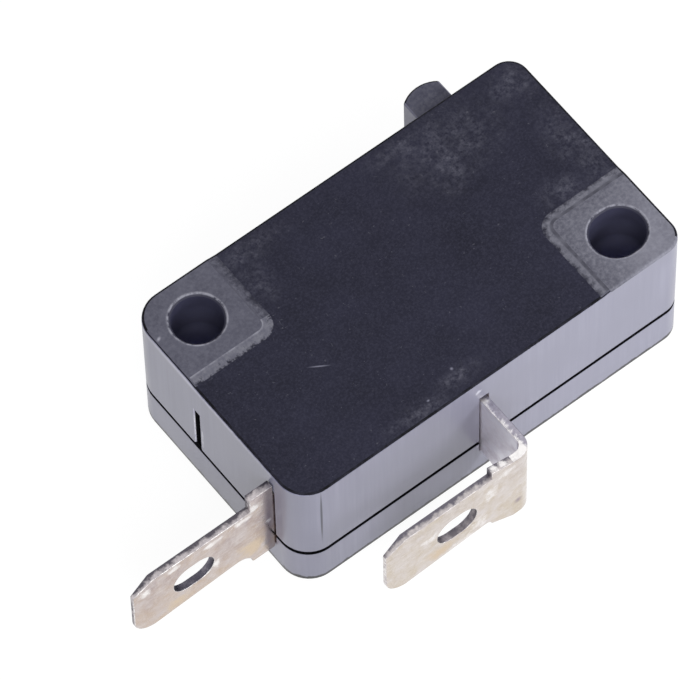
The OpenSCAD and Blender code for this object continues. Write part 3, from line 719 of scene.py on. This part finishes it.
def rim_of_wall(edge, facing):
    """True for an edge between an outer wall and a level face that looks up (1) or down (-1)."""
    ups = sorted(face.normal.z * facing for face in edge.link_faces)
    return abs(ups[0]) < UPRIGHT and ups[1] > LEVEL and depth(middle(edge)) < SKIN


print("depth at the round hole:", round(depth(holes[0]) / MM, 2), "mm")

# %% [markdown]
# The base shows most of the finishes. A face of it is told by its place and by how far it looks up: a bore
# not at all, a rim half way, a flank almost, and a pad or the face straight up. A face attribute could mark
# them too, but the solid brings none.

# %% Faces of the base
BASE_FINISHES = [FACE, PAD, PALE_PAD, CRISP_FLANK, SOFT_FLANK, PALE_FLANK, RIM, BORE, WALL, EDGE, CREST, SLOT,
                 GAP, LIP]
HOLE_REACH = 2.1 * MM
TOUCH = 0.01 * MM  # two places closer than this count as level
HALF_UP, NEARLY_UP, DEAD_LEVEL = 0.5, 0.99, 0.9999  # upward parts of a normal too
LEAN = 0.004  # a flank that faces the near side leans at least this much


def base_finish(face):
    """The finish of a face of the base."""
    centre = face.calc_center_median()
    up = face.normal.z
    if off_hole(centre) < HOLE_REACH and up < NEARLY_UP:
        return RIM if up > HALF_UP else BORE
    if up > LEVEL and centre.z > face_z + TOUCH:
        # Faces at the plunger end get the paler pad and flank, painted light.
        pale = centre.x > body_middle.x
        if up > DEAD_LEVEL:
            return PALE_PAD if pale else PAD
        # Flanks that face the near side, towards the light, get the paler painted light.
        near = face.normal.y < -LEAN
        return PALE_FLANK if pale else CRISP_FLANK if near else SOFT_FLANK
    if up > LEVEL and centre.z > face_z - TOUCH:
        return FACE
    if abs(up) < UPRIGHT and depth(centre) < SKIN:
        return WALL
    return SLOT if in_slot(centre) else GAP


print("finishes on the base:", len(BASE_FINISHES))

# %% [markdown]
# The base is the deep half of the housing. Its outer edge is broken by the mould, the lip above the parting
# line less so, and the mouth of the unused slit is rounded. The black painted shade of the broken edge stops
# short of the near edge of the paler pad, so no black line runs there.

# %% Base housing
EDGE_BREAK, LIP_BREAK, SLIT_BREAK = 0.16, 0.05, 0.07
PALE_REACH, PALE_FRONT = 2.75 * MM, 0.5 * MM
TOP_RING, BACKWARD = 0.85, 0.05  # parts of a normal, upwards and to the far side
NEAR_FACE, NEAR_PARTING, ABOVE_PARTING = 0.1 * MM, 0.5 * MM, 0.3 * MM
SLIT_Y, SLIT_HALF = -3.45 * MM, 0.8 * MM
SHARP = math.radians(40.0)


def base_edge_finish(face):
    """The finish of a face on the broken outer edge: pad or black painted shade above, painted highlight or
    plain below.
    """
    centre = face.calc_center_median()
    pale = centre.x > holes[1].x - PALE_REACH
    if pale and centre.y < base_low.y + PALE_FRONT:
        return PALE_PAD
    if face.normal.z < HALF_UP:
        return CREST if face.normal.x < -HALF_UP else WALL
    faces_back = face.normal.y > BACKWARD or face.normal.x > BACKWARD
    if face.normal.z < TOP_RING or faces_back or centre.z < face_z:
        return EDGE
    return PALE_PAD if pale else PAD


def slit_mouth(edge):
    """True for an edge where the unused slit opens in the tab end's wall."""
    place = middle(edge)
    near = place.x < base_low.x + TOUCH and abs(place.y - SLIT_Y) < SLIT_HALF
    return near and place.z > parting_z + ABOVE_PARTING and edge.calc_face_angle(0.0) > SHARP


def upper_edge(edge):
    """True for an edge where the wall turns in to the face and the pads."""
    return rim_of_wall(edge, 1) and middle(edge).z > face_z - NEAR_FACE


base = solid_copy("base_housing")
paint(base.faces, BASE_FINISHES, base_finish)
base_broken = round_edges(base, upper_edge, EDGE_BREAK, steps=3)
paint(base_broken, BASE_FINISHES, base_edge_finish)
round_edges(base, lambda e: rim_of_wall(e, -1) and middle(e).z < parting_z + NEAR_PARTING, LIP_BREAK, steps=2)
mouth = round_edges(base, slit_mouth, SLIT_BREAK, steps=2)
# The mouth of the slit gets a painted highlight.
paint(mouth, BASE_FINISHES, lambda face: LIP)
print("edge faces:", len(base_broken), "slit faces:", len(mouth))
settle(base, "base_housing_moulded", BASE_FINISHES, "base_housing", "housing")

# %% [markdown]
# The cover is the shallow half. It has no pads: its outer edge is broken all round and painted black as
# painted shade, and its bores are plain.
# Its lip at the parting line is eased like that of the base, so the groove between the two has soft edges.

# %% Cover
COVER_FINISHES = [COVER_WALL, BORE, EDGE, SLOT, GAP]


def cover_finish(face):
    """The finish of a face of the cover."""
    centre = face.calc_center_median()
    if off_hole(centre) < HOLE_REACH and abs(face.normal.z) < LEVEL:
        return BORE
    underside = centre.z < TOUCH and face.normal.z < -LEVEL
    side = centre.z >= TOUCH and depth(centre) < SKIN and abs(face.normal.z) < UPRIGHT
    return COVER_WALL if underside or side else SLOT if in_slot(centre) else GAP


cover = solid_copy("cover")
paint(cover.faces, COVER_FINISHES, cover_finish)
cover_broken = round_edges(cover, lambda e: rim_of_wall(e, -1) and middle(e).z < TOUCH, EDGE_BREAK, steps=3)
# The broken lower edge of the cover gets the black of painted shade.
paint(cover_broken, COVER_FINISHES, lambda face: EDGE)
round_edges(cover, lambda e: rim_of_wall(e, 1) and middle(e).z > parting_z - NEAR_PARTING, LIP_BREAK, steps=2)
print("edge faces:", len(cover_broken))
settle(cover, "cover_moulded", COVER_FINISHES, "cover", "housing")

# %% [markdown]
# The push button slides in the base. Only its shaft shows, so only those edges are rounded. Its sides are
# rubbed smooth by sliding and painted paler as painted light, its top is dark, and the edges of its tip get
# the painted shade of the broken edge.

# %% Plunger
BUTTON_FINISHES = [BUTTON_TOP, BUTTON_SIDE, EDGE]
BUTTON_BREAK = 0.12
SHAFT_Y = base_high.y - 1.0 * MM


def shaft_edge(edge):
    """True for a sharp edge of the shaft that stands out of the base."""
    return middle(edge).y > SHAFT_Y and edge.calc_face_angle(0.0) > SHARP


button = solid_copy("plunger")
paint(button.faces, BUTTON_FINISHES, lambda face: BUTTON_TOP if face.normal.z > HALF_UP else BUTTON_SIDE)
tip_edges = round_edges(button, shaft_edge, BUTTON_BREAK, steps=3)
# Tip edges that face back get the black of painted shade.
paint(tip_edges, BUTTON_FINISHES, lambda face: EDGE if face.normal.y > UPRIGHT else BUTTON_SIDE)
print("edge faces:", len(tip_edges))
settle(button, "plunger_moulded", BUTTON_FINISHES, "plunger", "plunger")

# %% [markdown]
# The terminals keep their tin on the two broad sides of the strip. The cut edges get the sheared finish, the
# wire holes the punched one, and the narrow bevels along the cut become a bright burr on the front side and
# a dark rolled corner at the back. The strip bends, so front means along -Y on a tab and along -X on the leg.

# %% Faces of the terminals
LEG_X = 9.0 * MM
MID_Z = mounts["common_tab"].z
TIP_REACH, HOLE_FROM, HOLE_HALF = 0.6 * MM, 1.0 * MM, 1.2 * MM
BROADSIDE, CUT_UP = 0.45, 0.6  # parts of a normal, along Y on a broad side and upwards on a cut
CORNER_LEAN = 0.2


def strip_finish(face, tin, cut, punched, tip, tip_x):
    """The finish of a face of a terminal, from those of its tin, cut, wire hole and tip."""
    centre = face.calc_center_median()
    across = abs(face.normal.y) < BROADSIDE
    on_tab = centre.x < LEG_X
    if across and centre.x < tip_x + TIP_REACH:
        return tip
    if across and on_tab and abs(centre.z - MID_Z) < HOLE_HALF and centre.x > tip_x + HOLE_FROM:
        return punched
    if abs(face.normal.z) > CUT_UP or (across and on_tab):
        return cut if on_tab else LEG_CUT
    return LEG_TIN if face.normal.x < -LEVEL and not on_tab else tin


def corner_finish(face, cut):
    """The finish of a bevel along the cut: burr in front, rolled corner behind, else plain cut."""
    front = face.normal.x if face.calc_center_median().x > LEG_X else face.normal.y
    if face.normal.z < -CORNER_LEAN or abs(front) < CORNER_LEAN:
        return cut
    return BURR if front < 0 else ROLLED


print("wire holes at", round(MID_Z / MM, 2), "mm up")

# %% [markdown]
# Both terminals are rounded where they show, and the straight one gets a softer corner where its lower edge
# meets the body. That corner is rounded before the finishes are given out, so that it is cut like the edge
# it belongs to. What lies inside the housing keeps its plain edges, because nobody sees it.

# %% Terminals
CUT_BREAK, SHOULDER_BREAK = 0.09, 0.16
SUNK = 0.2 * MM
SHOULDER_FAR, SHOULDER_NEAR, SHOULDER_DROP = 2.5 * MM, 0.3 * MM, 2.0 * MM
ALIGNED = 0.99


def corner_outside(edge):
    """True for a sharp edge that lies outside the body."""
    place = middle(edge)
    outside = place.x < base_low.x + SUNK or place.y < base_low.y + SUNK
    return outside and edge.calc_face_angle(0.0) > SHARP


def low_shoulder(edge):
    """True for the corner where the straight tab's lower edge meets the body."""
    along_y = abs((edge.verts[0].co - edge.verts[1].co).normalized().y) > ALIGNED
    place = middle(edge)
    near = base_low.x - SHOULDER_FAR < place.x < base_low.x - SHOULDER_NEAR
    return along_y and near and place.z < MID_Z - SHOULDER_DROP and edge.calc_face_angle(0.0) > SHARP


for node, tin, cut, punched, tip in (("common_terminal", STRAIGHT_TIN, STRAIGHT_CUT, PUNCHED, STRAIGHT_CUT),
                                     ("angled_terminal", ANGLED_TIN, ANGLED_CUT, PALE_PUNCHED, BURR)):
    strip_finishes = [tin, LEG_TIN, cut, LEG_CUT, punched, BURR, ROLLED]
    strip = solid_copy(node)
    tip_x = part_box(node)[0].x
    round_edges(strip, low_shoulder, SHOULDER_BREAK, steps=3)
    paint(strip.faces, strip_finishes, lambda face: strip_finish(face, tin, cut, punched, tip, tip_x))
    corners = round_edges(strip, corner_outside, CUT_BREAK, steps=2)
    paint(corners, strip_finishes, lambda face: corner_finish(face, cut))
    print(node, "corner faces:", len(corners))
    settle(strip, node + "_stamped", strip_finishes, node, "housing")

# %% [markdown]
# The stage is a white table under soft light. The floor glows for the camera and in reflections, so it stays
# white at a plain light level, and it keeps a share of plain paint so the switch still casts a shadow. A
# brighter lamp could whiten the floor as well, but it would bleach the switch.

# %% Floor
FLOOR_HALF, FLOOR_GAP = 1500 * MM, 0.01 * MM
LIT_GREY, SHADE_GREY, GLOW = 0.9, 0.12, 0.92


def seen_or_mirrored(tree):
    """A share that is 1 for camera, glossy and transmission rays and 0 for light that bounces."""
    rays = add(tree, "LightPath").node.outputs
    seen = add(tree, "Math", {0: rays["Is Camera Ray"], 1: rays["Is Glossy Ray"]}, operation="MAXIMUM")
    return add(tree, "Math", {0: seen, 1: rays["Is Transmission Ray"]}, operation="MAXIMUM")


table = bmesh.new()
bmesh.ops.create_grid(table, x_segments=1, y_segments=1, size=FLOOR_HALF)
bmesh.ops.translate(table, verts=table.verts, vec=(0, 0, -FLOOR_GAP))
floor_mesh = bpy.data.meshes.new("white_table")
table.to_mesh(floor_mesh)
table.free()
floor = bpy.data.objects.new("white_table", floor_mesh)
bpy.context.scene.collection.objects.link(floor)

# To the eye: an even white ground with a faint shadow at the switch.
table_paint, paint_tree, _ = blank_finish("white_table_paint")
plain = add(paint_tree, "BsdfDiffuse", {"Color": (LIT_GREY, LIT_GREY, LIT_GREY, 1.0)})
shaded = add(paint_tree, "BsdfDiffuse", {"Color": (SHADE_GREY, SHADE_GREY, SHADE_GREY, 1.0)})
glowing = add(paint_tree, "AddShader", {0: shaded, 1: add(paint_tree, "Emission", {"Strength": GLOW})})
surface = add(paint_tree, "MixShader", {0: seen_or_mirrored(paint_tree), 1: plain, 2: glowing})
add(paint_tree, "OutputMaterial", {"Surface": surface})
floor_mesh.materials.append(table_paint)
print("floor of", 2 * FLOOR_HALF, "m")

# %% [markdown]
# Soft light from all round keeps the colours as written. A large key lamp gives the edges a direction, a weak
# fill lamp opens the shade at the plunger end, and a small lamp near that end lights the front wall and the
# paler pad a little more than the rest. A picture of a studio could light the scene as well, but three lamps
# and a plain sky need no file.

# %% Light
WHITE = (1.0, 1.0, 1.0, 1.0)
SOFT, BRIGHT = 0.5, 1.0
# For each lamp: its place and its size in mm, and its power in watts.
LAMPS = {"key_lamp": ((-190, -290, 320), 260, 1.15), "fill_lamp": ((330, -120, 260), 320, 0.4),
         "near_lamp": ((48, -66, 38), 30, 0.025)}

world = bpy.data.worlds.new("soft_studio")
bpy.context.scene.world = world
world.use_nodes = True
sky_tree = world.node_tree
sky_tree.nodes.clear()
soft, bright = [add(sky_tree, "Background", {"Color": WHITE, "Strength": level}) for level in (SOFT, BRIGHT)]
sky = add(sky_tree, "MixShader", {0: seen_or_mirrored(sky_tree), 1: soft, 2: bright})
add(sky_tree, "OutputWorld", {"Surface": sky})

for lamp_name, (spot, size_mm, power) in LAMPS.items():
    lamp = bpy.data.lights.new(lamp_name, "AREA")
    lamp.size = size_mm * MM
    lamp.energy = power
    holder = bpy.data.objects.new(lamp_name, lamp)
    holder.location = Vector(spot) * MM
    holder.rotation_euler = (AIM - holder.location).to_track_quat("-Z", "Y").to_euler()
    bpy.context.scene.collection.objects.link(holder)
    print(lamp_name, "of", power, "W")

# %% [markdown]
# Dressing a solid must not change its size. The last cell sets a plain view transform and hands the scene
# over.

# %% View transform
bpy.context.scene.view_settings.view_transform = "Standard"
bpy.context.view_layer.update()
